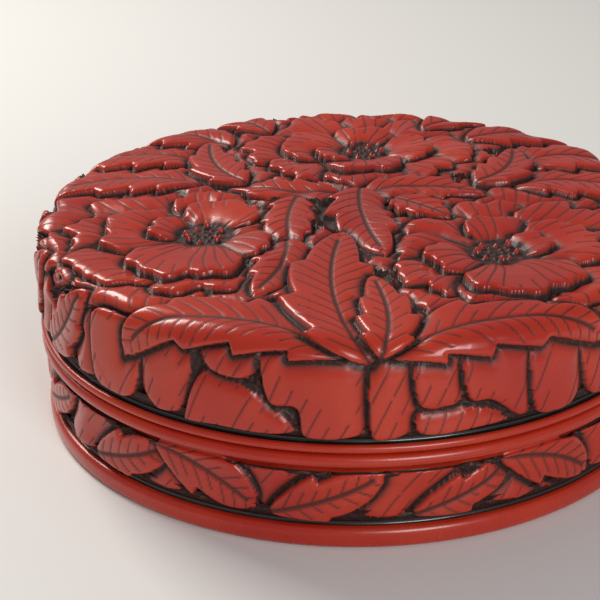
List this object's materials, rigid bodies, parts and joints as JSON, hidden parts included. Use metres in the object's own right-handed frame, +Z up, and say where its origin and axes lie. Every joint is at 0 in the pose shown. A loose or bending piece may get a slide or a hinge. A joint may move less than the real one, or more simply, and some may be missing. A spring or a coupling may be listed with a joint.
{
  "type": "incense box",
  "caption": "Round turned box with a lift-off lid, carved lid and side band, plain beads at the seam, a foot ring and a thin locating rim inside.",
  "frame": {"origin": "centre of the foot, on the surface the box stands on", "axes": "+Z up along the turning axis, the lid lifts along +Z; -Y is the side that faces the viewer"},
  "size_m": [0.0804, 0.0804, 0.026],
  "materials": {
    "red_lacquer": "gloss red lacquer over carved wood",
    "black_lacquer": "gloss black lacquer on turned wood"
  },
  "bodies": {
    "base": {"body": "red_lacquer", "inner_rim": "black_lacquer"},
    "cover": {"lid": "red_lacquer"}
  },
  "joints": [
    {"name": "lid_lift", "type": "slide", "parent": "base", "child": "cover", "axis": [0, 0, 1], "range_m": [0, 0.05]}
  ]
}
